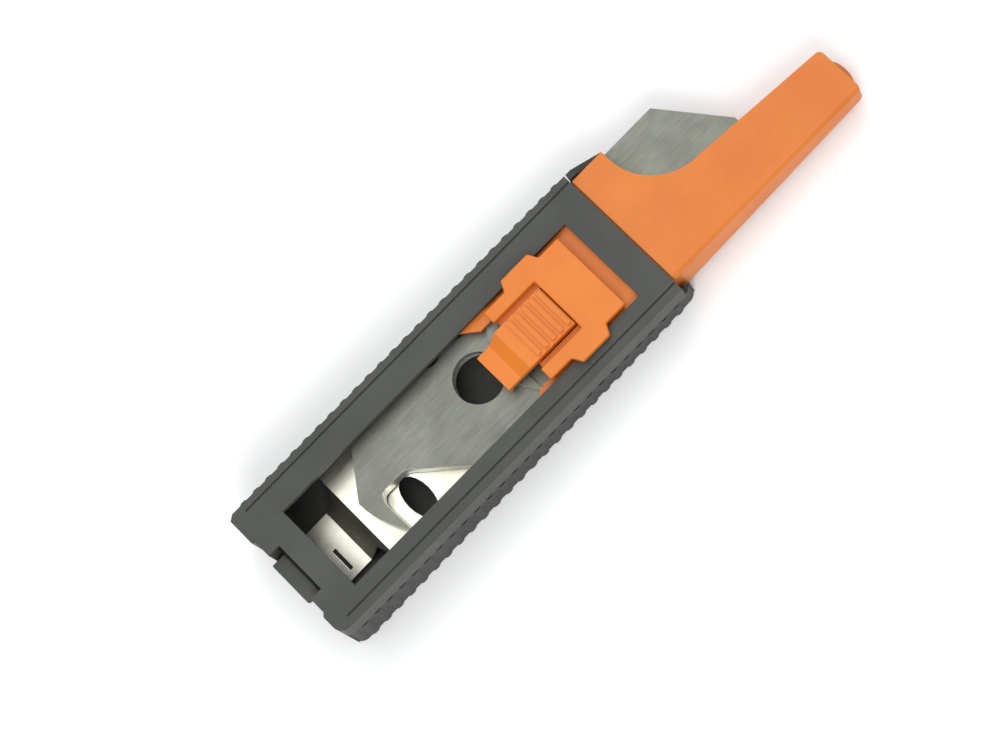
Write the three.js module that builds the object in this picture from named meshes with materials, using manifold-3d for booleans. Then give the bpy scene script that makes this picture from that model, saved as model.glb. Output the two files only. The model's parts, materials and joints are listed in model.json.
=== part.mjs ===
// Pocket dispenser for utility hook blades: a grey wedge-shaped box with a windowed cover, an
// orange guide nose, a thumb slider that pushes the top blade out, and a leaf spring under a short
// stack of spare blades. Millimetres. The pieces are drawn parallel to the cover's face: X from the
// rear edge towards the nose tip, Y towards the blades' spines, Z out of the window. The whole
// assembly is then tilted by the wedge, so that its flat back lies on the plane Z = 0.
import * as THREE from 'three';
import { mergeVertices } from 'three/addons/utils/BufferGeometryUtils.js';
import Module from 'manifold-3d';

const wasm = await Module();
wasm.setup();

// ---------------------------------------------------------------- driving dimensions
// blades
const BLADE_LENGTH = 50;
const BLADE_WIDTH = 19.5;
const BLADE_THICKNESS = 0.63;
const BLADE_GAP = 0.03;            // air between stacked blades
const STACK_COUNT = 4;
const STACK_OFFSET = 0.8;          // sideways place of the stack, within its play
const DISPENSED_OFFSET = 0.9;      // and of the blade that is pushed out
const SPINE_LENGTH = 35.2;
const HOLE_DIAMETER = 7.8;
const SPINE_NOTCH_PLACE = 3.0;     // a spine notch's distance from the middle
const SPINE_NOTCH_WIDTH = 3.6;
const SPINE_NOTCH_DEPTH = 3.55;
const HOOK_EXTREME = 0.4;          // the ends' extremes lie below the middle line
const HOOK_THROAT = 2.7;           // outer extreme to the inner edge of the hook
const HOOK_ROOF = 1.7;             // hook opening's roof below the middle line
const HOOK_CORNER = 1.4;
const HOOK_ROOF_LENGTH = 3.2;
const HOOK_TIP_RISE = 0.9;         // hook tip above the straight edge
const EDGE_LENGTH = 15.8;          // straight middle of the hook side

// box
const FLOOR = 1.4;
const WALL = 1.3;
const REAR_WALL = 1.5;
const REAR_RECESS = 0.5;           // the rear edge steps in over the window's width
const BLADE_SIDE_ROOM = 1.3;       // from half a blade's width to the wall
const SPRING_BAY = 12.8;           // room between the rear wall and the stack
const STACK_FRONT_ROOM = 2.1;
const SPRING_ROOM = 2.4;           // from the floor to the stack, at the stack's front end
const WEDGE_RISE = 3.55;           // how much deeper the rear is than the stack's front end
const TRAY_BEYOND_COVER = 1.7;
const HORN_REACH = 6.4;            // the spine-side wall reaches this far beyond the cover
const HORN_FLAT = 1.0;             // and slopes down after this much
const REAR_ROUND = 1.8;
const REAR_CHAMFER = 0.9;
const FRONT_ROUND = 1.7;

// cover
const COVER_THICKNESS = 1.0;
const COVER_SKIRT = 4.3;           // depth of the cover with its side walls
const WINDOW_REAR = 6.4;
const FRONT_BAR = 4.9;             // cover between the window and its front edge
const WINDOW_WIDTH = 15.4;
const WINDOW_OFFSET = -0.78;       // the window sits a little towards the hooks
const GROOVE_WIDTH = 0.3;
const GROOVE_DEPTH = 0.3;
const GROOVE_FROM_REAR = 2.6;
const LATCH_NOTCH_WIDTH = 9.0;
const LATCH_NOTCH_DEPTH = 2.6;
const KEEPER_LENGTH = 1.9;         // keeper rib under the cover, in front of the latch
const KEEPER_DROP = 3.5;
const KEEPER_WIDTH = 7.0;

// latch
const LATCH_WIDTH = 7.7;
const LATCH_PROUD = 0.36;          // how far its finger ledge stands behind the rear edge
const LATCH_BELOW_FACE = 2.5;
const LATCH_LEDGE = 1.1;
const LATCH_STRIP = 0.9;

// leaf spring
const SPRING_THICKNESS = 0.3;
const SPRING_REAR = 3.4;
const SPRING_TAB_LENGTH = 6.7;
const SPRING_TAB_WIDTH = 9.9;
const SPRING_TAB_OFFSET = 0.25;
const SPRING_WIDTH = 17.0;
const SPRING_LENGTH = 55.0;
const SPRING_REST = 0.25;          // air under the tab
const RISER_LENGTH = 3.0;          // steep step after the tab
const RISER_SHARE = 0.85;          // share of the climb made by that step
const CLIMB_LENGTH = 19.0;         // gentle climb up to the stack
const TAB_SLOT_LENGTH = 3.9;
const TAB_SLOT_WIDTH = 0.6;
const TAB_SLOT_OFFSET = -1.5;
const SPRING_HOLE_DIAMETER = 9.0;  // round hole below the blades' holes
const RELIEF_PLACE = 21.5;         // oval relief hole, seen through the blades' hook openings
const RELIEF_OFFSET = -4.4;
const RELIEF_WIDTH = 4.0;
const RELIEF_LENGTH = 7.6;

// nose
const NOSE_REACH = 38.4;           // from the cover's front edge to the tip
const NOSE_BELOW_FACE = 0.5;
const NOSE_SPINE_GAP = 0.25;       // root to the spine-side wall
const NOSE_HOOK_GAP = 0.75;        // root to the hook-side wall
const NOSE_SCOOP_REACH = 6.3;      // the scooped edge starts this far beyond the cover
const NOSE_SCOOP_RADIUS = 9.2;
const NOSE_SCOOP_FLOOR = 0.0;
const NOSE_TIP_EDGE = -1.8;
const NOSE_TIP_ROUND = 0.9;
const NOSE_TIP_WALL = 0.85;        // wall below the blade slot at the tip
const NOSE_EDGE_BREAK = 0.5;       // bevel along the hook side's top edge
const NOSE_TANG = 2.2;             // how far it reaches under the cover
const NOSE_RIM = 0.5;              // wall that closes the slot beside the hooks
const NUB_WIDTH = 4.6;
const NUB_LENGTH = 0.8;
const NUB_OFFSET = -5.9;

// slider
const SLIDER_OFFSET = -1.15;       // the slider leans on the window's hook-side edge
const PLATE_LENGTH = 15.1;
const PLATE_INSET = 0.7;           // from the window's width to the plate's, on each side
const PLATE_THICKNESS = 1.2;
const PLATE_FROM_SHOE = 4.5;       // shoe's rear tips to the plate's rear edge
const WING_LAP = 0.9;              // wings beyond the window's width, on each side
const WING_REAR = 4.2;             // wings start this far from the plate's rear edge
const WING_LENGTH = 7.0;
const WING_CHAMFER = 0.8;
const SHOE_LIP = 1.3;              // how far the shoe reaches under the window's edges
const SHOE_LENGTH = 24.1;
const SHOE_THICKNESS = 0.75;
const SHOE_RIM = 1.5;              // how much of each prong shows inside the window
const SHOE_TIP_LENGTH = 2.4;       // the prongs' tips are cut back on their inner side
const SHOE_TIP_WIDTH = 2.1;
const SHOE_PRONG_LENGTH = 4.9;
const SHOE_FRONT_GAP = 0.4;
const NECK_REAR = 0.5;             // neck behind the plate's rear edge
const NECK_SIDE_GAP = 0.7;
const TONGUE_WIDTH = 7.5;
const TONGUE_TIP_WIDTH = 6.7;
const TONGUE_LENGTH = 13.4;
const TONGUE_ROOT_FROM_REAR = 8.1; // root, from the plate's rear edge
const TONGUE_SLOT = 1.15;
const TONGUE_STEP = 1.5;           // the tip lies this much lower than the ribs
const TONGUE_LANDING = 2.5;
const TONGUE_RAMP = 1.9;
const TONGUE_TIP_THICKNESS = 1.0;
const TOOTH_THICKNESS = 0.5;
const TOOTH_CLEARANCE = 0.2;       // tooth above the blades while the tongue is not pressed
const TOOTH_GAP = 0.25;            // tooth to the blade that it has pushed
const RIB_COUNT = 5;
const RIB_PITCH = 1.5;
const RIB_WIDTH = 0.75;
const RIB_HEIGHT = 0.35;
const RIB_INSET = 0.4;

// clearances
const FIT = 0.3;                   // between fixed neighbours
const SLIDE_FIT = 0.2;             // between pieces that slide on each other
const BLADE_HEADROOM = 0.18;       // top blade to the slider's shoe
const SEAM = 0.15;                 // between tray and cover
const KISS = 0.05;                 // between faces that rest on each other

// ---------------------------------------------------------------- derived levels and places
const bladePitch = BLADE_THICKNESS + BLADE_GAP;
const stackHeight = STACK_COUNT * bladePitch;
const aboveBlades = BLADE_HEADROOM + SHOE_THICKNESS + SLIDE_FIT + COVER_THICKNESS;
const faceLevel = FLOOR + SPRING_ROOM + stackHeight + BLADE_THICKNESS + aboveBlades + WEDGE_RISE;
const coverBottom = faceLevel - COVER_THICKNESS;
const shoeTop = coverBottom - SLIDE_FIT;
const shoeBottom = shoeTop - SHOE_THICKNESS;
const dispensedTop = shoeBottom - BLADE_HEADROOM;
const dispensedBottom = dispensedTop - BLADE_THICKNESS;
const stackBottom = dispensedBottom - stackHeight;
const slotFloor = dispensedBottom - SLIDE_FIT;
const slotRoof = dispensedTop + SLIDE_FIT;
const noseTop = faceLevel - NOSE_BELOW_FACE;
const seamLevel = Math.min(faceLevel - COVER_SKIRT, slotFloor);
const plateBottom = faceLevel + SLIDE_FIT;
const plateTop = plateBottom + PLATE_THICKNESS;
const latchTop = faceLevel - LATCH_BELOW_FACE;

const rearWallFront = REAR_RECESS + REAR_WALL;
const stackRear = rearWallFront + SPRING_BAY;
const stackMiddle = stackRear + BLADE_LENGTH / 2;
const stackFront = stackRear + BLADE_LENGTH;
const tangRear = stackFront + STACK_FRONT_ROOM;
const coverLength = tangRear + NOSE_TANG;
const trayLength = coverLength + TRAY_BEYOND_COVER;
const hornEnd = coverLength + HORN_REACH;
const noseRear = coverLength + FIT;
const noseTip = coverLength + NOSE_REACH;
const windowFront = coverLength - FRONT_BAR;
const windowLow = WINDOW_OFFSET - WINDOW_WIDTH / 2;
const windowHigh = WINDOW_OFFSET + WINDOW_WIDTH / 2;
const cavityHalf = BLADE_WIDTH / 2 + BLADE_SIDE_ROOM;
const halfBody = cavityHalf + WALL;
const noseLow = -cavityHalf + NOSE_HOOK_GAP;
const noseHigh = cavityHalf - NOSE_SPINE_GAP;
const shoeFront = tangRear - SHOE_FRONT_GAP;
const shoeRear = shoeFront - SHOE_LENGTH;
const plateRear = shoeRear + PLATE_FROM_SHOE;
const tongueRoot = plateRear + TONGUE_ROOT_FROM_REAR;
const tongueTip = tongueRoot - TONGUE_LENGTH;
const dispensedRear = tongueTip + TOOTH_THICKNESS + TOOTH_GAP;

const wedgeSlope = WEDGE_RISE / stackFront;
const beyond = noseTip + 10;
const above = faceLevel + 10;
const floorTop = (x) => wedgeSlope * x + FLOOR;

// ---------------------------------------------------------------- solid helpers
function toSolid(geometry) {
  geometry.deleteAttribute('normal');
  geometry.deleteAttribute('uv');
  const merged = mergeVertices(geometry, 1e-5);
  return new wasm.Manifold(new wasm.Mesh({
    numProp: 3,
    vertProperties: new Float32Array(merged.attributes.position.array),
    triVerts: new Uint32Array(merged.index.array),
  }));
}

function toGeometry(solid) {
  const mesh = solid.getMesh();
  const geometry = new THREE.BufferGeometry();
  geometry.setAttribute('position', new THREE.BufferAttribute(mesh.vertProperties, 3));
  geometry.setIndex(new THREE.BufferAttribute(mesh.triVerts, 1));
  const faceted = geometry.toNonIndexed();
  faceted.computeVertexNormals();
  return faceted;
}

function box(x0, x1, y0, y1, z0, z1) {
  const geometry = new THREE.BoxGeometry(x1 - x0, y1 - y0, z1 - z0);
  geometry.translate((x0 + x1) / 2, (y0 + y1) / 2, (z0 + z1) / 2);
  return toSolid(geometry);
}

function polygon(points) {
  return new THREE.Shape(points.map(([x, y]) => new THREE.Vector2(x, y)));
}

// A plan outline raised from z0 to z1.
function slab(shape, z0, z1, curveSegments = 10) {
  const options = { depth: z1 - z0, bevelEnabled: false, curveSegments };
  const geometry = new THREE.ExtrudeGeometry(shape, options);
  geometry.translate(0, 0, z0);
  return toSolid(geometry);
}

// A side outline, drawn in X and Z, extended from y0 to y1.
function sideSlab(points, y0, y1) {
  const geometry = new THREE.ExtrudeGeometry(polygon(points), { depth: y1 - y0, bevelEnabled: false });
  geometry.rotateX(Math.PI / 2);
  geometry.translate(0, y1, 0);
  return toSolid(geometry);
}

// An end outline, drawn in Y and Z, extended from x0 to x1.
function endSlab(points, x0, x1) {
  const geometry = new THREE.ExtrudeGeometry(polygon(points), { depth: x1 - x0, bevelEnabled: false });
  geometry.rotateX(Math.PI / 2);
  geometry.rotateZ(Math.PI / 2);
  geometry.translate(x0, 0, 0);
  return toSolid(geometry);
}

// ---------------------------------------------------------------- grey tray
// Plan outline of the body up to the given front end: one rounded and one chamfered rear corner,
// and a shallow recess in the rear edge.
function bodyOutline(frontEnd, frontRound) {
  const shape = new THREE.Shape();
  shape.moveTo(REAR_ROUND, -halfBody);
  shape.lineTo(frontEnd - frontRound, -halfBody);
  shape.absarc(frontEnd - frontRound, -halfBody + frontRound, frontRound, -Math.PI / 2, 0, false);
  shape.lineTo(frontEnd, halfBody);
  shape.lineTo(REAR_CHAMFER, halfBody);
  shape.lineTo(0, halfBody - REAR_CHAMFER);
  shape.lineTo(0, windowHigh);
  shape.lineTo(REAR_RECESS, windowHigh - REAR_RECESS);
  shape.lineTo(REAR_RECESS, windowLow + REAR_RECESS);
  shape.lineTo(0, windowLow);
  shape.lineTo(0, -halfBody + REAR_ROUND);
  shape.absarc(REAR_ROUND, -halfBody + REAR_ROUND, REAR_ROUND, Math.PI, Math.PI * 1.5, false);
  return shape;
}

function latchSlot() {
  const half = LATCH_WIDTH / 2 + FIT;
  return box(-1, rearWallFront + 1, WINDOW_OFFSET - half, WINDOW_OFFSET + half, floorTop(0) + FIT, above);
}

// The spine-side wall goes on past the cover, full height at first and then sloping down.
function makeHorn() {
  const start = coverLength + FIT;
  const slopeStart = start + HORN_FLAT;
  const overlap = trayLength - 1;
  return sideSlab([
    [start, seamLevel - 1],
    [overlap, floorTop(overlap) - FLOOR],
    [hornEnd, floorTop(hornEnd) - FLOOR],
    [hornEnd, seamLevel],
    [slopeStart, faceLevel],
    [start, faceLevel],
  ], cavityHalf, halfBody);
}

function makeBaseTray() {
  const wedge = [
    [0, 0],
    [beyond, wedgeSlope * beyond],
    [beyond, seamLevel],
    [0, seamLevel],
  ];
  const cavity = [
    [rearWallFront, floorTop(rearWallFront)],
    [beyond, floorTop(beyond)],
    [beyond, above],
    [rearWallFront, above],
  ];
  return slab(bodyOutline(trayLength, FRONT_ROUND), 0, above)
    .intersect(sideSlab(wedge, -halfBody - 1, halfBody + 1))
    .subtract(sideSlab(cavity, -cavityHalf, cavityHalf))
    .subtract(latchSlot())
    .add(makeHorn());
}

// A springy strip that stands in the rear wall's slot, with a finger ledge on top.
function makeRearLatch() {
  const stripRear = REAR_RECESS + (REAR_WALL - LATCH_STRIP) / 2;
  const ledgeBottom = latchTop - LATCH_LEDGE;
  const foot = floorTop(0) + 2 * FIT;
  return sideSlab([
    [stripRear, foot],
    [stripRear + LATCH_STRIP, foot],
    [stripRear + LATCH_STRIP, ledgeBottom - FIT],
    [LATCH_NOTCH_DEPTH - FIT, ledgeBottom],
    [LATCH_NOTCH_DEPTH - FIT, latchTop - FIT],
    [LATCH_NOTCH_DEPTH - 2 * FIT, latchTop],
    [-LATCH_PROUD, latchTop],
    [-LATCH_PROUD, ledgeBottom],
    [stripRear, ledgeBottom - 2 * FIT],
  ], WINDOW_OFFSET - LATCH_WIDTH / 2, WINDOW_OFFSET + LATCH_WIDTH / 2);
}

// ---------------------------------------------------------------- grey cover
function makeFrontCover() {
  const notchHalf = LATCH_NOTCH_WIDTH / 2;
  const keeperRear = LATCH_NOTCH_DEPTH + SEAM;
  const keeperHalf = KEEPER_WIDTH / 2;
  const grooveFrom = GROOVE_FROM_REAR;
  const grooveFloor = faceLevel - GROOVE_DEPTH;
  const grooveIn = cavityHalf - GROOVE_WIDTH;
  return slab(bodyOutline(coverLength, 0), seamLevel + SEAM, faceLevel)
    .subtract(box(rearWallFront, beyond, -cavityHalf, cavityHalf, 0, coverBottom))
    .subtract(box(WINDOW_REAR, windowFront, windowLow, windowHigh, coverBottom - 1, above))
    .subtract(box(-1, LATCH_NOTCH_DEPTH, WINDOW_OFFSET - notchHalf, WINDOW_OFFSET + notchHalf, 0, above))
    .subtract(box(grooveFrom, beyond, grooveIn, cavityHalf, grooveFloor, above))
    .subtract(box(grooveFrom, beyond, -cavityHalf, -grooveIn, grooveFloor, above))
    .add(box(keeperRear, keeperRear + KEEPER_LENGTH, WINDOW_OFFSET - keeperHalf,
      WINDOW_OFFSET + keeperHalf, coverBottom - KEEPER_DROP, coverBottom + KISS));
}

// ---------------------------------------------------------------- blades
// Half of the outline, from the spine's middle round one hook to the middle of the straight edge.
function halfBladePoints() {
  const halfLength = BLADE_LENGTH / 2;
  const halfWidth = BLADE_WIDTH / 2;
  const throat = halfLength - HOOK_THROAT;
  const tip = -halfWidth + HOOK_TIP_RISE;
  const roofFront = throat - HOOK_CORNER;
  const roofRear = roofFront - HOOK_ROOF_LENGTH;
  const notchIn = SPINE_NOTCH_PLACE - SPINE_NOTCH_WIDTH / 2;
  const notchOut = SPINE_NOTCH_PLACE + SPINE_NOTCH_WIDTH / 2;
  const notchFloor = halfWidth - SPINE_NOTCH_DEPTH;
  const path = new THREE.Path();
  path.moveTo(notchIn, halfWidth);
  path.lineTo(notchIn, halfWidth - SPINE_NOTCH_DEPTH / 2);
  path.quadraticCurveTo(notchIn, notchFloor, SPINE_NOTCH_PLACE, notchFloor);
  path.quadraticCurveTo(notchOut, notchFloor, notchOut, halfWidth - SPINE_NOTCH_DEPTH / 2);
  path.lineTo(notchOut, halfWidth);
  path.lineTo(SPINE_LENGTH / 2, halfWidth);
  path.lineTo(halfLength, -HOOK_EXTREME);
  path.quadraticCurveTo(halfLength, tip * 0.52, throat - 0.15, tip);
  path.lineTo(throat, -HOOK_ROOF - 2);
  path.quadraticCurveTo(throat, -HOOK_ROOF, roofFront, -HOOK_ROOF);
  path.lineTo(roofRear, -HOOK_ROOF);
  path.quadraticCurveTo(roofRear - 1.2, -HOOK_ROOF, roofRear - 2.1, -HOOK_ROOF - 1.2);
  path.lineTo(EDGE_LENGTH / 2, -halfWidth);
  return path.getPoints(6);
}

function makeBlade() {
  const half = halfBladePoints();
  const mirrored = half.map((point) => new THREE.Vector2(-point.x, point.y)).reverse();
  const outline = new THREE.Shape([...half, ...mirrored].reverse());
  const hole = new THREE.CylinderGeometry(HOLE_DIAMETER / 2, HOLE_DIAMETER / 2, 4 * BLADE_THICKNESS, 32);
  hole.rotateX(Math.PI / 2);
  return slab(outline, 0, BLADE_THICKNESS).subtract(toSolid(hole));
}

// ---------------------------------------------------------------- leaf spring
// Height of the strip's underside: a tab on the floor, a steep riser, and a gentle climb that ends
// level under the stack.
function springHeight(x) {
  const ease = (t) => (1 - Math.cos(Math.PI * Math.min(Math.max(t, 0), 1))) / 2;
  const tab = floorTop(x) + SPRING_REST;
  const crown = stackBottom - SLIDE_FIT - SPRING_THICKNESS;
  const riserFrom = SPRING_REAR + SPRING_TAB_LENGTH;
  const riser = Math.min(Math.max((x - riserFrom) / RISER_LENGTH, 0), 1);
  const climb = ease((x - riserFrom - RISER_LENGTH / 2) / CLIMB_LENGTH);
  return tab + (crown - tab) * (RISER_SHARE * riser + (1 - RISER_SHARE) * climb);
}

function ovalCutter(x, y, width, length) {
  const oval = new THREE.Shape();
  oval.absellipse(x, y, width / 2, length / 2, 0, Math.PI * 2, false);
  return slab(oval, 0, above);
}

function makeLeafSpring() {
  const end = SPRING_REAR + SPRING_LENGTH;
  const riserFrom = SPRING_REAR + SPRING_TAB_LENGTH;
  const riserTo = riserFrom + RISER_LENGTH;
  const climbTo = riserTo + CLIMB_LENGTH;
  const stations = [SPRING_REAR];
  for (let i = 0; i <= 4; i += 1) {
    stations.push(riserFrom + (RISER_LENGTH * i) / 4);
  }
  for (let i = 1; i <= 14; i += 1) {
    stations.push(riserTo + (CLIMB_LENGTH * i) / 14);
  }
  stations.push((climbTo + end) / 2, end);
  const under = stations.map((x) => [x, springHeight(x)]);
  const over = under.map(([x, z]) => [x, z + SPRING_THICKNESS]).reverse();
  const half = SPRING_WIDTH / 2;
  const tabLow = SPRING_TAB_OFFSET - SPRING_TAB_WIDTH / 2;
  const tabHigh = SPRING_TAB_OFFSET + SPRING_TAB_WIDTH / 2;
  const plan = polygon([
    [SPRING_REAR, tabLow],
    [riserTo - 1, tabLow],
    [riserTo, -half],
    [end - 1, -half],
    [end, -half + 1],
    [end, half - 1],
    [end - 1, half],
    [riserTo, half],
    [riserTo - 1, tabHigh],
    [SPRING_REAR, tabHigh],
  ]);
  const slotRear = SPRING_REAR + SPRING_TAB_LENGTH / 2;
  const slotLow = TAB_SLOT_OFFSET - TAB_SLOT_LENGTH / 2;
  const slotHigh = TAB_SLOT_OFFSET + TAB_SLOT_LENGTH / 2;
  return sideSlab([...under, ...over], -half, half)
    .intersect(slab(plan, 0, above))
    .subtract(box(slotRear, slotRear + TAB_SLOT_WIDTH, slotLow, slotHigh, 0, above))
    .subtract(ovalCutter(stackMiddle, STACK_OFFSET, SPRING_HOLE_DIAMETER, SPRING_HOLE_DIAMETER))
    .subtract(ovalCutter(RELIEF_PLACE, RELIEF_OFFSET, RELIEF_WIDTH, RELIEF_LENGTH));
}

// ---------------------------------------------------------------- orange nose
// Plan outline shared by both halves: a full-width root, a scooped edge that bares the blade's
// spine, and a slim tip.
function noseOutline(rear) {
  const scoopStart = coverLength + NOSE_SCOOP_REACH;
  const scoopX = scoopStart + NOSE_SCOOP_RADIUS;
  const scoopY = NOSE_SCOOP_FLOOR + NOSE_SCOOP_RADIUS;
  const roundX = noseTip - NOSE_TIP_ROUND;
  const shape = new THREE.Shape();
  shape.moveTo(rear, noseLow);
  shape.lineTo(roundX, noseLow);
  shape.absarc(roundX, noseLow + NOSE_TIP_ROUND, NOSE_TIP_ROUND, -Math.PI / 2, 0, false);
  shape.lineTo(noseTip, NOSE_TIP_EDGE - NOSE_TIP_ROUND);
  shape.absarc(roundX, NOSE_TIP_EDGE - NOSE_TIP_ROUND, NOSE_TIP_ROUND, 0, Math.PI / 2, false);
  shape.lineTo(scoopX, NOSE_SCOOP_FLOOR);
  shape.absarc(scoopX, scoopY, NOSE_SCOOP_RADIUS, Math.PI * 1.5, Math.PI, true);
  shape.lineTo(scoopStart, noseHigh);
  shape.lineTo(rear, noseHigh);
  return shape;
}

function makeNoseUpper() {
  const tang = box(tangRear, noseRear + 1, noseLow, noseHigh, slotRoof, coverBottom - SLIDE_FIT);
  const section = [
    [noseLow, slotRoof],
    [noseHigh + 1, slotRoof],
    [noseHigh + 1, noseTop],
    [noseLow + NOSE_EDGE_BREAK, noseTop],
    [noseLow, noseTop - NOSE_EDGE_BREAK],
  ];
  return slab(noseOutline(noseRear), slotRoof, noseTop, 16)
    .intersect(endSlab(section, tangRear - 1, beyond))
    .add(tang);
}

function makeNoseLower() {
  const rootBottom = floorTop(trayLength) + FIT;
  const tipBottom = slotFloor - NOSE_TIP_WALL;
  const rimTop = slotRoof - KISS;
  const wedge = [
    [tangRear - 1, rootBottom],
    [trayLength, rootBottom],
    [beyond, tipBottom],
    [beyond, rimTop],
    [tangRear - 1, rimTop],
  ];
  const nub = new THREE.Shape();
  nub.moveTo(noseTip - 1, NUB_OFFSET - NUB_WIDTH / 2);
  nub.lineTo(noseTip, NUB_OFFSET - NUB_WIDTH / 2);
  nub.absellipse(noseTip, NUB_OFFSET, NUB_LENGTH, NUB_WIDTH / 2, -Math.PI / 2, Math.PI / 2, false);
  nub.lineTo(noseTip - 1, NUB_OFFSET + NUB_WIDTH / 2);
  return slab(noseOutline(tangRear), 0, above, 16)
    .add(slab(nub, 0, above))
    .intersect(sideSlab(wedge, -halfBody, halfBody))
    .subtract(box(tangRear - 2, beyond, noseLow + NOSE_RIM, halfBody, slotFloor, above));
}

// ---------------------------------------------------------------- orange slider
function mirroredPlan(half) {
  const other = half.map(([x, y]) => [x, 2 * SLIDER_OFFSET - y]).reverse();
  return polygon([...half, ...other]);
}

function makeSliderPlate() {
  const y = (halfWidth) => SLIDER_OFFSET - halfWidth;
  const front = plateRear + PLATE_LENGTH;
  const wingRear = plateRear + WING_REAR;
  const wingFront = wingRear + WING_LENGTH;
  const plateHalf = WINDOW_WIDTH / 2 - PLATE_INSET;
  const wingHalf = WINDOW_WIDTH / 2 + WING_LAP;
  const mouth = TONGUE_WIDTH / 2 + TONGUE_SLOT;
  const plan = mirroredPlan([
    [plateRear, y(plateHalf)],
    [wingRear, y(plateHalf)],
    [wingRear + WING_CHAMFER, y(wingHalf)],
    [wingFront - WING_CHAMFER, y(wingHalf)],
    [wingFront, y(plateHalf)],
    [front, y(plateHalf)],
  ]);
  return slab(plan, plateBottom, plateTop)
    .subtract(box(plateRear - 1, tongueRoot + SLIDE_FIT, SLIDER_OFFSET - mouth, SLIDER_OFFSET + mouth,
      0, above));
}

// A fork under the cover's edges, with a neck that rises through the window to carry the plate.
function makeSliderShoe() {
  const shoeHalf = WINDOW_WIDTH / 2 + SHOE_LIP;
  const mouthHalf = WINDOW_WIDTH / 2 - SHOE_RIM;
  const y = (halfWidth) => SLIDER_OFFSET - halfWidth;
  const plan = mirroredPlan([
    [shoeRear + SHOE_PRONG_LENGTH, y(mouthHalf)],
    [shoeRear + SHOE_TIP_LENGTH, y(mouthHalf)],
    [shoeRear, y(mouthHalf + SHOE_TIP_WIDTH)],
    [shoeRear, y(shoeHalf)],
    [shoeFront, y(shoeHalf)],
  ]);
  const neckRear = plateRear + NECK_REAR;
  const neckFront = plateRear + PLATE_LENGTH - FIT;
  const neckHalf = WINDOW_WIDTH / 2 - Math.abs(SLIDER_OFFSET - WINDOW_OFFSET) - NECK_SIDE_GAP;
  const channelHalf = TONGUE_WIDTH / 2 + SLIDE_FIT;
  const neck = box(neckRear, neckFront, y(neckHalf), y(-neckHalf), shoeTop - KISS, plateBottom - KISS)
    .subtract(box(neckRear - 1, tongueRoot + SLIDE_FIT, y(channelHalf), y(-channelHalf), 0, above));
  return slab(plan, shoeBottom, shoeTop).add(neck);
}

// The flexible pusher: ribbed pad, ramp, low tip and the tooth that catches a blade's end.
function makeThumbTongue() {
  const landing = tongueTip + TONGUE_LANDING;
  const rampTop = landing + TONGUE_RAMP;
  const tipTop = plateTop - TONGUE_STEP;
  const tipUnder = tipTop - TONGUE_TIP_THICKNESS;
  const toothBottom = dispensedTop + TOOTH_CLEARANCE;
  const half = TONGUE_WIDTH / 2;
  const profile = [
    [tongueTip, toothBottom],
    [tongueTip + TOOTH_THICKNESS, toothBottom],
    [tongueTip + TOOTH_THICKNESS, tipUnder],
    [landing, tipUnder],
    [rampTop, plateBottom],
    [tongueRoot, plateBottom],
    [tongueRoot, plateTop],
    [rampTop, plateTop],
    [landing, tipTop],
    [tongueTip, tipTop],
  ];
  const plan = mirroredPlan([
    [tongueTip - 1, SLIDER_OFFSET - TONGUE_TIP_WIDTH / 2],
    [landing, SLIDER_OFFSET - TONGUE_TIP_WIDTH / 2],
    [rampTop, SLIDER_OFFSET - half],
    [tongueRoot + 1, SLIDER_OFFSET - half],
  ]);
  let tongue = sideSlab(profile, SLIDER_OFFSET - half, SLIDER_OFFSET + half)
    .intersect(slab(plan, 0, above));
  const ribSpan = (RIB_COUNT - 1) * RIB_PITCH + RIB_WIDTH;
  const firstRib = tongueRoot - SLIDE_FIT - ribSpan;
  const ribLow = SLIDER_OFFSET - half + RIB_INSET;
  const ribHigh = SLIDER_OFFSET + half - RIB_INSET;
  for (let i = 0; i < RIB_COUNT; i += 1) {
    const x = firstRib + i * RIB_PITCH;
    tongue = tongue.add(box(x, x + RIB_WIDTH, ribLow, ribHigh, plateTop - KISS, plateTop + RIB_HEIGHT));
  }
  return tongue;
}

// ---------------------------------------------------------------- assembly
const greyPlastic = new THREE.MeshStandardMaterial({ color: 0x595c56, roughness: 0.55, metalness: 0 });
const nosePlastic = new THREE.MeshStandardMaterial({ color: 0xef8f40, roughness: 0.45, metalness: 0 });
const sliderPlastic = new THREE.MeshStandardMaterial({ color: 0xf8933f, roughness: 0.42, metalness: 0 });
const bladeSteel = new THREE.MeshStandardMaterial({ color: 0x93958c, roughness: 0.4, metalness: 1 });
const springSteel = new THREE.MeshStandardMaterial({ color: 0xd9d8cc, roughness: 0.18, metalness: 1 });

const assembly = new THREE.Group();
assembly.name = 'tilted_by_the_wedge';
assembly.rotation.y = Math.atan(wedgeSlope);

function place(name, solid, material, x = 0, y = 0, z = 0) {
  const mesh = new THREE.Mesh(toGeometry(solid), material);
  mesh.name = name;
  mesh.position.set(x, y, z);
  assembly.add(mesh);
}

place('base_tray', makeBaseTray(), greyPlastic);
place('rear_latch', makeRearLatch(), greyPlastic);
place('front_cover', makeFrontCover(), greyPlastic);
place('leaf_spring', makeLeafSpring(), springSteel);
place('nose_upper', makeNoseUpper(), nosePlastic);
place('nose_lower', makeNoseLower(), nosePlastic);
place('slider_plate', makeSliderPlate(), sliderPlastic);
place('slider_shoe', makeSliderShoe(), sliderPlastic);
place('thumb_tongue', makeThumbTongue(), sliderPlastic);

const blade = makeBlade();
for (let i = 0; i < STACK_COUNT; i += 1) {
  const name = `blade_${String(i + 1).padStart(2, '0')}`;
  place(name, blade, bladeSteel, stackMiddle, STACK_OFFSET, stackBottom + i * bladePitch);
}
const dispensedMiddle = dispensedRear + BLADE_LENGTH / 2;
place('dispensed_blade', blade, bladeSteel, dispensedMiddle, DISPENSED_OFFSET, dispensedBottom);

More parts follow.
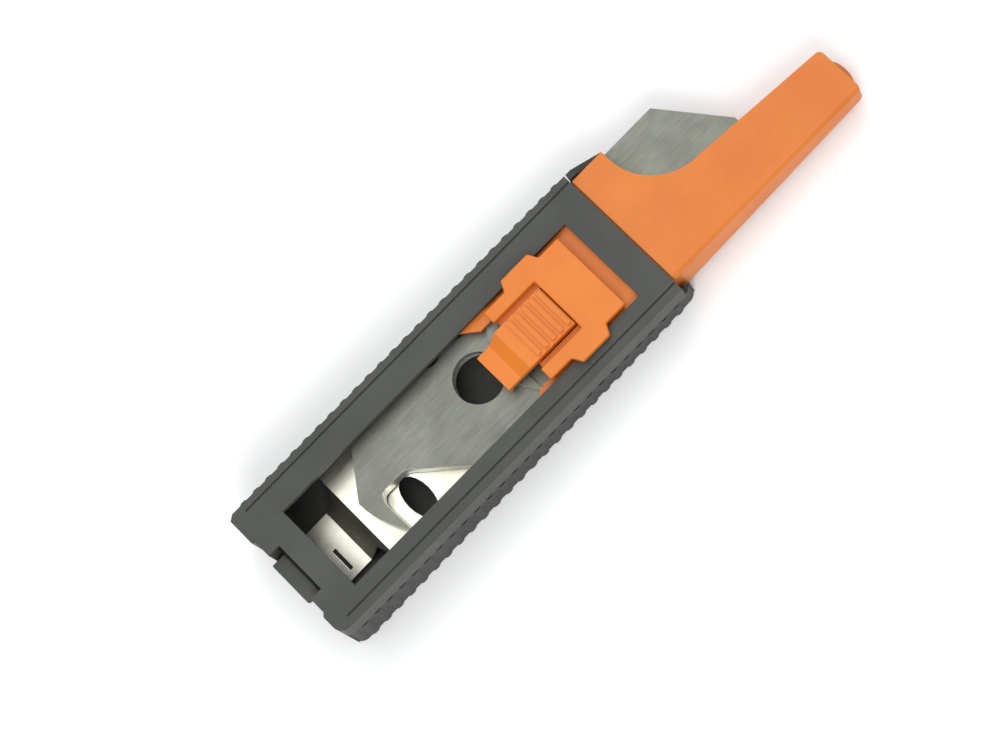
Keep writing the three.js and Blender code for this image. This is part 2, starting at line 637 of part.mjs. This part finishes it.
// The origin is the middle of the bounding box, on the plane that the flat back lies on.
const model = new THREE.Group();
model.add(assembly);
model.updateMatrixWorld(true);
const bounds = new THREE.Box3().setFromObject(model, true);
const middle = bounds.getCenter(new THREE.Vector3());
model.position.set(-middle.x, -middle.y, -bounds.min.z);

export default model;
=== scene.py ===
# %% [markdown]
# # A pocket dispenser for hook blades
#
# The dispenser is a flat, wedge-shaped grey box with a windowed cover. Inside, a polished leaf
# spring lifts a short stack of hook blades. An orange slider pushes the top blade out between the
# two halves of an orange nose. The CAD model holds the sizes and the motion, so this file only
# makes the surfaces that the eye sees: rounded plastic edges, a ribbed grip, ground blades and a
# bright spring.

# %% Load the CAD frame
import json
from math import atan2, cos, degrees, radians, sin, tan

import bmesh
import bpy
from mathutils import Matrix, Vector


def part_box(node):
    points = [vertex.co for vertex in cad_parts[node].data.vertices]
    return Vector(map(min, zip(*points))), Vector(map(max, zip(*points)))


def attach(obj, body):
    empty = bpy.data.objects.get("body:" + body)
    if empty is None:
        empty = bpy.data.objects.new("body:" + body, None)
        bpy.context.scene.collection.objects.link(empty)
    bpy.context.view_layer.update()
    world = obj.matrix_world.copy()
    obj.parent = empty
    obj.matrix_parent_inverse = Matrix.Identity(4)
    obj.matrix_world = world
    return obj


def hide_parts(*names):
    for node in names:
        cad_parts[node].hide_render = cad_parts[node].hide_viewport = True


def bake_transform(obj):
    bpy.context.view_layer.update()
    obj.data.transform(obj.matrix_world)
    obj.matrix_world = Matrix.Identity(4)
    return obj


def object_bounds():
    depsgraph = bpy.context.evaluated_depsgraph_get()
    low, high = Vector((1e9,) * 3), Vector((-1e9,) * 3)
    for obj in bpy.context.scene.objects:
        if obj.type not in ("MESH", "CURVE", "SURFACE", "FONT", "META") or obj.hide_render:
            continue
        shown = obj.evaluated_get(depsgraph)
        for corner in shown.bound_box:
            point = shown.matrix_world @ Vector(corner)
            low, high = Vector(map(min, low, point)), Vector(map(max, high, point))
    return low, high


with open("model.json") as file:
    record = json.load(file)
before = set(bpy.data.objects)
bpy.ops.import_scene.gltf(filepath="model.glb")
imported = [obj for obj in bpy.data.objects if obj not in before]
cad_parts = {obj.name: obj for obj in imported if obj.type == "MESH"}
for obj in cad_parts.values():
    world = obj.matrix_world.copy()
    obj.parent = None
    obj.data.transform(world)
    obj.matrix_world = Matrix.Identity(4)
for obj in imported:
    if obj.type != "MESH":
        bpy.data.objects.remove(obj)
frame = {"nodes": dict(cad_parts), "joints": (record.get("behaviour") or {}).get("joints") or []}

cad_low, cad_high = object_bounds()
MM = 0.001

# %% [markdown]
# ## Places worked out from the frame
#
# The box is a wedge: its back is level, and its window slopes down towards the nose. The slope can
# be read from the slider's joint, because the slider runs along the window. Three directions follow
# from it: along the window, across it, and out of it. Two small functions turn lengths that are
# measured along those directions into places in the model, and back.

# %% The window's directions
slide = next(joint for joint in frame["joints"] if joint["name"] == "slider_slide")
ALONG = Vector(slide["axis"]).normalized()
ACROSS = Vector((0, 1, 0))
OUT = ALONG.cross(ACROSS)
WEDGE = atan2(-ALONG.z, ALONG.x)
REAR_CORNER = Vector((cad_low.x, 0, cad_low.z))


def place_at(along, across, out):
    """Millimetres from the rear bottom edge, along, across and out of the window's face."""
    return REAR_CORNER + MM * (along * ALONG + across * ACROSS + out * OUT)


def measured(point):
    """The same three lengths for a point of the model."""
    offset = (point - REAR_CORNER) / MM
    return Vector((offset.dot(ALONG), offset.dot(ACROSS), offset.dot(OUT)))


def limits(node):
    """A CAD node's lowest and highest length along each of the three directions."""
    corners = [measured(vertex.co) for vertex in frame["nodes"][node].data.vertices]
    return [(min(c[i] for c in corners), max(c[i] for c in corners)) for i in range(3)]


stack_names = sorted(name for name in frame["nodes"] if name.startswith("blade_"))
print("wedge in degrees:", round(degrees(WEDGE), 2), "blades in the stack:", len(stack_names))
for node in ("base_tray", "front_cover", "dispensed_blade"):
    print(node, [(round(a, 2), round(b, 2)) for a, b in limits(node)])


# %% [markdown]
# ## Camera
#
# The dispenser lies on its back and is seen from above, tilted a little towards the hook side, with
# its nose pointing up and to the right. A long lens keeps the edges nearly parallel. The camera is
# built from three facts: the tilt from straight down, the direction that the length takes in the
# frame, and the point of the object that sits in the middle of the frame.

# %% Camera
TILT = radians(16.5)
LENGTH_DIRECTION = radians(45.53)
CAMERA_DISTANCE = 0.536
FOCAL_LENGTH = 135.0


def make_camera(target):
    view = sin(TILT) * ACROSS - cos(TILT) * OUT
    uphill = cos(TILT) * ACROSS + sin(TILT) * OUT
    right = cos(LENGTH_DIRECTION) * ALONG - sin(LENGTH_DIRECTION) * uphill
    up = sin(LENGTH_DIRECTION) * ALONG + cos(LENGTH_DIRECTION) * uphill
    data = bpy.data.cameras.new("camera")
    data.lens = FOCAL_LENGTH
    data.sensor_width = 36.0
    data.clip_start = 0.01
    camera = bpy.data.objects.new("camera", data)
    bpy.context.scene.collection.objects.link(camera)
    turn = Matrix((right, up, -view)).transposed()
    camera.matrix_world = Matrix.Translation(target - view * CAMERA_DISTANCE) @ turn.to_4x4()
    bpy.context.scene.camera = camera
    return camera


face_level = limits("front_cover")[2][1]
camera = make_camera(place_at(42.26, -2.0, face_level))
print("camera stands at", [round(c, 3) for c in camera.location])


# %% [markdown]
# ## Small helpers for materials
#
# Colours are written as the hex values that a screen shows, and one function turns them into the
# linear numbers that the renderer works with. Another adds a node, sets its values and links it.

# %% Material helpers
def srgb(hex_colour):
    channels = [int(hex_colour[i:i + 2], 16) / 255 for i in (1, 3, 5)]
    linear = [c / 12.92 if c <= 0.04045 else ((c + 0.055) / 1.055) ** 2.4 for c in channels]
    return (*linear, 1.0)


def add(material, kind, values=None, **settings):
    """Adds a node; values maps an input to a number, a colour or another node's output."""
    node = material.node_tree.nodes.new(kind)
    for name, value in settings.items():
        setattr(node, name, value)
    for name, value in (values or {}).items():
        if isinstance(value, bpy.types.NodeSocket):
            material.node_tree.links.new(value, node.inputs[name])
        else:
            node.inputs[name].default_value = value
    return node


def new_material(name, **surface):
    material = bpy.data.materials.new(name)
    material.use_nodes = True
    shader = material.node_tree.nodes["Principled BSDF"]
    for socket, value in surface.items():
        shader.inputs[socket.replace("_", " ")].default_value = value
    return material, shader


def link(material, output, shader, socket):
    material.node_tree.links.new(output, shader.inputs[socket])


# %% [markdown]
# ## Moulded plastic
#
# The box is ABS with a fine spark-eroded texture from its mould. The eye sees a satin grey with a
# soft grain: tiny pits scatter the light, and slow swirls of a slightly other grey come from the way
# the plastic flowed. The same recipe serves the orange parts with another colour and less grain.

# %% Moulded ABS
GRAIN = 0.35 * MM       # mould texture; drawn three times too coarse, so that it shows
FLOW = 9 * MM           # slow variation of the colour


def moulded_abs(name, light, dark, roughness, grain_depth):
    material, shader = new_material(name, IOR=1.53)
    place = add(material, "ShaderNodeTexCoord").outputs["Object"]
    flow = add(material, "ShaderNodeTexNoise", {"Vector": place, "Scale": 1 / FLOW, "Detail": 3.0})
    grain = add(material, "ShaderNodeTexNoise", {"Vector": place, "Scale": 1 / GRAIN, "Detail": 2.0})
    mixed = add(material, "ShaderNodeMath", {0: grain.outputs["Fac"], 1: 0.35}, operation="MULTIPLY")
    total = add(material, "ShaderNodeMath", {0: flow.outputs["Fac"], 1: mixed.outputs[0]}, operation="ADD")
    ramp = add(material, "ShaderNodeValToRGB", {"Fac": total.outputs[0]})
    ramp.color_ramp.elements[0].position = 0.45
    ramp.color_ramp.elements[0].color = srgb(dark)
    ramp.color_ramp.elements[1].position = 0.9
    ramp.color_ramp.elements[1].color = srgb(light)
    link(material, ramp.outputs["Color"], shader, "Base Color")
    rough = add(material, "ShaderNodeMapRange", {
        "Value": grain.outputs["Fac"], "From Min": 0.3, "From Max": 0.7,
        "To Min": roughness - 0.06, "To Max": roughness + 0.08})
    link(material, rough.outputs["Result"], shader, "Roughness")
    bump = add(material, "ShaderNodeBump", {
        "Height": grain.outputs["Fac"], "Strength": grain_depth, "Distance": 0.05 * MM})
    link(material, bump.outputs["Normal"], shader, "Normal")
    return material


grey_cover_abs = moulded_abs("abs_grey_satin", "#434540", "#373935", 0.55, 0.5)
grey_grip_abs = moulded_abs("abs_grey_spark_eroded", "#373835", "#292a27", 0.62, 0.9)
orange_nose_abs = moulded_abs("abs_orange_satin", "#d97a22", "#cf6d1a", 0.45, 0.3)
orange_slider_abs = moulded_abs("abs_orange_slider", "#e17d1c", "#d77215", 0.42, 0.25)

# %% [markdown]
# ## Steel
#
# The blades are hardened carbon steel, rolled and then tumbled, so they are matt and slightly warm,
# with fine rolling lines along their length. Their stamped and ground edges are bright bare steel,
# and their colour is set almost to white as a painted highlight. The leaf spring is satin-polished
# strip, brighter and smoother than the blades, with long faint lines; its near-white cream colour
# is a painted highlight as well as polished steel.
#
# One noise pattern, stretched along the length, gives the lines in the roughness and in the relief.
# Another, even in all directions, gives slow clouds in the colour.

# %% Steel finishes
LINE_STRETCH = 0.04     # the lines are this much slower along the length than across it
CLOUD = 5 * MM


def rolled_steel(name, light, dark, roughness, spread, line_pitch, line_depth):
    material, shader = new_material(name, Metallic=1.0)
    place = add(material, "ShaderNodeTexCoord").outputs["Object"]
    stretched = add(material, "ShaderNodeMapping", {"Vector": place, "Scale": (LINE_STRETCH, 1.0, 1.0)})
    lines = add(material, "ShaderNodeTexNoise", {
        "Vector": stretched.outputs["Vector"], "Scale": 1 / line_pitch, "Detail": 2.0})
    cloud = add(material, "ShaderNodeTexNoise", {"Vector": place, "Scale": 1 / CLOUD, "Detail": 4.0})
    ramp = add(material, "ShaderNodeValToRGB", {"Fac": cloud.outputs["Fac"]})
    ramp.color_ramp.elements[0].position = 0.35
    ramp.color_ramp.elements[0].color = srgb(dark)
    ramp.color_ramp.elements[1].position = 0.68
    ramp.color_ramp.elements[1].color = srgb(light)
    link(material, ramp.outputs["Color"], shader, "Base Color")
    rough = add(material, "ShaderNodeMapRange", {
        "Value": lines.outputs["Fac"], "From Min": 0.35, "From Max": 0.65,
        "To Min": roughness - spread, "To Max": roughness + spread})
    link(material, rough.outputs["Result"], shader, "Roughness")
    bump = add(material, "ShaderNodeBump", {
        "Height": lines.outputs["Fac"], "Strength": line_depth, "Distance": 0.01 * MM})
    link(material, bump.outputs["Normal"], shader, "Normal")
    return material


blade_steel = rolled_steel("carbon_steel_rolled", "#888a81", "#7c7e75", 0.5, 0.06, 0.25 * MM, 0.4)
# near-white colour: bare sheared steel, made brighter still as a painted highlight
sheared_metal_and_painted_highlight = rolled_steel("sheared_carbon_steel_and_painted_highlight", "#fdfdf8", "#ecece4", 0.42, 0.05, 0.2 * MM, 0.2)
# near-white cream colour: polished steel with a painted highlight, set to the brightness of its reflections
spring_steel = rolled_steel("polished_spring_metal_with_painted_highlight", "#f8f6e8", "#e6e3d1", 0.34, 0.03, 0.6 * MM, 0.04)


# %% [markdown]
# ## Rounded plastic
#
# A moulded part has no knife-sharp edges: the mould leaves a small radius everywhere. A copy of the
# CAD node is merged into one skin, its coplanar triangles are joined into flat faces, and every
# sharp edge is bevelled. The slider's shoe takes only a hair of a radius, because the mouth of its
# fork ends a tenth of a millimetre short of its neck.

# %% Rounded copies of CAD nodes
SHARP_EDGE = 32         # degrees; the facets of round corners meet at less than this
SMOOTH_BELOW = 35       # degrees; softer edges than this are shaded as one surface


def cad_copy(node):
    """The node as one skin with flat faces instead of triangles."""
    mesh = bmesh.new()
    mesh.from_mesh(frame["nodes"][node].data)
    bmesh.ops.remove_doubles(mesh, verts=mesh.verts, dist=0.002 * MM)
    bmesh.ops.dissolve_limit(mesh, angle_limit=radians(0.5), verts=mesh.verts, edges=mesh.edges)
    return mesh


def sharp_edges(mesh):
    return [e for e in mesh.edges if e.is_manifold and e.calc_face_angle() > radians(SHARP_EDGE)]


def bevel(mesh, edges, radius, segments):
    bmesh.ops.bevel(mesh, geom=edges, offset=radius, offset_type="OFFSET", affect="EDGES",
                    segments=segments, profile=0.5, material=-1, clamp_overlap=True)


def round_off(mesh, radius):
    bevel(mesh, sharp_edges(mesh), radius * MM, segments=3)


def finish_piece(name, mesh, material, body, slot, *nodes, extra_materials=(), crease=SMOOTH_BELOW):
    """Makes the mesh a piece that stands for the CAD nodes; one without a body is attached to nothing."""
    data = bpy.data.meshes.new(name)
    mesh.to_mesh(data)
    mesh.free()
    for face in data.polygons:
        face.use_smooth = True
    data.set_sharp_from_angle(angle=radians(crease))
    piece = bpy.data.objects.new(name, data)
    bpy.context.scene.collection.objects.link(piece)
    for finish in (material, *extra_materials):
        data.materials.append(finish)
    shading = piece.modifiers.new("flat_faces_stay_flat", "WEIGHTED_NORMAL")
    shading.keep_sharp = True
    if body:
        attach(piece, body)
    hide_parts(*nodes)
    print(f"{name}: {len(data.polygons)} faces")
    return piece


def rounded(name, node, radius, material, body, slot):
    mesh = cad_copy(node)
    round_off(mesh, radius)
    return finish_piece(name, mesh, material, body, slot, node)


rounded("latch", "rear_latch", 0.15, grey_cover_abs, "latch", "grey_tray")
rounded("nose_top", "nose_upper", 0.25, orange_nose_abs, "base", "orange_nose")
rounded("nose_bottom", "nose_lower", 0.2, orange_nose_abs, "base", "orange_nose")
rounded("slide_plate", "slider_plate", 0.25, orange_slider_abs, "slider", "orange_slider")
rounded("slide_shoe", "slider_shoe", 0.03, orange_slider_abs, "slider", "orange_slider")
rounded("pusher_tongue", "thumb_tongue", 0.12, orange_slider_abs, "tongue", "orange_slider")

# %% [markdown]
# ## Ribbed grip
#
# The long sides carry a row of upright half-round ribs. On the hook side they cover only the tray,
# and on the spine side they go up to the face as well. The side wall steps in by the height of the
# ribs, so the ribs end where the CAD wall stands.

# %% Grip ribs
RIB_PITCH = 2.55
RIB_HALF_WIDTH = 0.8
RIB_HEIGHT = 0.3
RIBS_START = 3.2            # from the rear end to the first rib
RIBS_STOP = 1.5             # no rib stands nearer than this to the cover's front
SKIN = 0.8                  # whatever is nearer than this to the outer side belongs to its skin

# Across the rib in half widths and out of the wall in rib heights; it starts a little inside the wall.
rib_section = [(-1.0, -0.4), (1.0, -0.4), (1.0, 0.0), (0.72, 0.62), (0.3, 0.96), (-0.3, 0.96), (-0.72, 0.62),
               (-1.0, 0.0)]


def step_in(mesh, sides):
    """Moves the outer skin of the given sides inwards by the height of the ribs."""
    for vertex in mesh.verts:
        side = 1 if vertex.co.y > 0 else -1
        if side in sides and abs(vertex.co.y) > cad_high.y - SKIN * MM:
            vertex.co.y -= side * RIB_HEIGHT * MM


def add_rib(mesh, along, side, bottom, top):
    outer = cad_high.y / MM - RIB_HEIGHT
    rings = []
    for out in (bottom, top):
        ring = [place_at(along + u * RIB_HALF_WIDTH, side * (outer + v * RIB_HEIGHT), out)
                for u, v in rib_section]
        rings.append([mesh.verts.new(corner) for corner in ring])
    faces = [mesh.faces.new(rings[0]), mesh.faces.new(rings[1])]
    count = len(rib_section)
    for i in range(count):
        j = (i + 1) % count
        faces.append(mesh.faces.new((rings[0][i], rings[0][j], rings[1][j], rings[1][i])))
    bmesh.ops.recalc_face_normals(mesh, faces=faces)


cover_limits = limits("front_cover")
cover_front, seam = cover_limits[0][1], cover_limits[2][0]


def add_ribs(mesh, side, levels):
    """levels gives a rib's bottom and top at a place along the side."""
    count = int((cover_front - RIBS_STOP - RIBS_START) / RIB_PITCH)
    for i in range(count + 1):
        along = RIBS_START + i * RIB_PITCH
        add_rib(mesh, along, side, *levels(along))


def tray_levels(along):
    """From just above the sloping back to just below the seam."""
    return tan(WEDGE) * along + 0.25, seam - 0.5


def cover_levels(along):
    """From just above the seam to just below the face, the same all along."""
    return seam + 0.3, face_level - 0.35


tray = cad_copy("base_tray")
step_in(tray, (-1, 1))
round_off(tray, 0.22)
for side in (-1, 1):
    add_ribs(tray, side, tray_levels)
finish_piece("tray", tray, grey_grip_abs, "base", "grey_tray", "base_tray")

cover = cad_copy("front_cover")
step_in(cover, (1,))
round_off(cover, 0.2)
add_ribs(cover, 1, cover_levels)
finish_piece("window_cover", cover, grey_cover_abs, "cover", "grey_cover", "front_cover")

# %% [markdown]
# ## Blades
#
# A hook blade is stamped from strip, so its outline shows a bright sheared edge with a small break
# all round; that brightness is partly bare steel and partly a painted highlight. The inside of each
# hook is the part that cuts: it is ground to a wider bright bevel on the upper side, along the roof
# of the opening and the slope behind it, painted near white as a highlight in the same way. The
# grinding is shallow, so the bevel's lower edge is lifted after it is cut at 45 degrees.
#
# The hook's edges are found by their place: so far from the blade's middle along its length, so far
# from it towards the hooks, and not running straight across the blade.

# %% Blades
SHEARED_BREAK = 0.18 * MM
GROUND_BEVEL = 0.36 * MM
GROUND_DEPTH = 0.17 * MM
HOOK_REACH = (7.5, 21.5)        # along the blade, from its middle
HOOK_SIDE = (1.0, 9.7)          # across the blade, from its middle towards the hooks
LENGTHWISE = 0.85               # an edge steeper across the blade than this isn't ground
SAME_LEVEL = 0.01 * MM
SHEARED_ANGLE = 60              # degrees; the ground edges are already blunter than this
BLADE_CREASE = 20               # degrees; less than the ground bevel's slope, so the bevel stays crisp
FLAT = 0.95                     # how nearly a face looks out of the window to count as the blade's flat


def upper_edges(mesh, top):
    """Sharp edges round the upper face."""
    return [e for e in sharp_edges(mesh) if all(top - v.co.dot(OUT) < SAME_LEVEL for v in e.verts)]


def is_ground(edge, middle):
    """True for the hook opening's roof and slope, which face away from the spine."""
    centre = (edge.verts[0].co + edge.verts[1].co) / 2 - middle
    reach = abs(centre.dot(ALONG)) / MM
    towards_hooks = -centre.y / MM
    direction = (edge.verts[1].co - edge.verts[0].co).normalized()
    in_hook = HOOK_REACH[0] < reach < HOOK_REACH[1] and HOOK_SIDE[0] < towards_hooks < HOOK_SIDE[1]
    return in_hook and abs(direction.y) < LENGTHWISE


def make_blade(node, body):
    low, high = (Vector(corner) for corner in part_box(node))
    middle = (low + high) / 2
    mesh = cad_copy(node)
    top = max(v.co.dot(OUT) for v in mesh.verts)
    ground = [e for e in upper_edges(mesh, top) if is_ground(e, middle)]
    bevel(mesh, ground, GROUND_BEVEL, segments=1)
    for vertex in mesh.verts:
        if abs(top - vertex.co.dot(OUT) - GROUND_BEVEL) < SAME_LEVEL:
            vertex.co += (GROUND_BEVEL - GROUND_DEPTH) * OUT
    rest = [e for e in upper_edges(mesh, top) if e.calc_face_angle() > radians(SHEARED_ANGLE)]
    bevel(mesh, rest, SHEARED_BREAK, segments=1)
    # walls and edge bevels take the near-white edge steel: bare steel with a painted highlight
    for face in mesh.faces:
        if abs(face.normal.dot(OUT)) < FLAT:
            face.material_index = 1
    print(node, "ground edges:", len(ground), "other broken edges:", len(rest))
    finish_piece(f"hook_{node}", mesh, blade_steel, body, "blade_steel", node,
                 extra_materials=(sheared_metal_and_painted_highlight,), crease=BLADE_CREASE)


for node in (*stack_names, "dispensed_blade"):
    make_blade(node, "top_blade" if node == "dispensed_blade" else "blade_stack")

# %% [markdown]
# ## Spring
#
# The spring's foot is fixed to the floor, and its bow carries the stack; in the real dispenser the bow
# goes down with the blades when the stack is pressed. Here the spring is one piece, baked in place and
# joined to no moving body.

# %% Spring
# the spring's near-white colour is partly a painted highlight
spring = rounded("bowed_spring", "leaf_spring", 0.05, spring_steel, None, "spring_steel")
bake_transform(spring)


# %% [markdown]
# ## Floor and light
#
# A plain white floor, three large soft lamps and an even grey-white surrounding, which keeps the
# shadows weak. The key lamp stands on the hook side, so it lights the sheared edges that face it.

# %% Studio
def make_floor():
    mesh = bmesh.new()
    bmesh.ops.create_grid(mesh, x_segments=1, y_segments=1, size=3.0)
    data = bpy.data.meshes.new("floor")
    mesh.to_mesh(data)
    mesh.free()
    floor = bpy.data.objects.new("floor", data)
    bpy.context.scene.collection.objects.link(floor)
    material, _ = new_material("paper_white", Base_Color=srgb("#ffffff"), Roughness=0.9)
    data.materials.append(material)


def soft_lamp(name, place, size, power):
    data = bpy.data.lights.new(name, "AREA")
    data.shape = "DISK"
    data.size = size
    data.energy = power
    lamp = bpy.data.objects.new(name, data)
    bpy.context.scene.collection.objects.link(lamp)
    place = Vector(place)
    lamp.matrix_world = Matrix.Translation(place) @ (-place).to_track_quat("-Z", "Y").to_matrix().to_4x4()


make_floor()
soft_lamp("key", (-0.25, -0.5, 0.6), 0.5, 2.8)
soft_lamp("fill", (0.4, 0.45, 0.6), 0.6, 1.4)
soft_lamp("top", (0.0, 0.16, 0.9), 1.0, 2.6)
world = bpy.data.worlds.new("studio")
bpy.context.scene.world = world
world.use_nodes = True
world.node_tree.nodes["Background"].inputs["Color"].default_value = srgb("#f4f5f7")
world.node_tree.nodes["Background"].inputs["Strength"].default_value = 0.62
bpy.context.scene.view_settings.view_transform = "Standard"
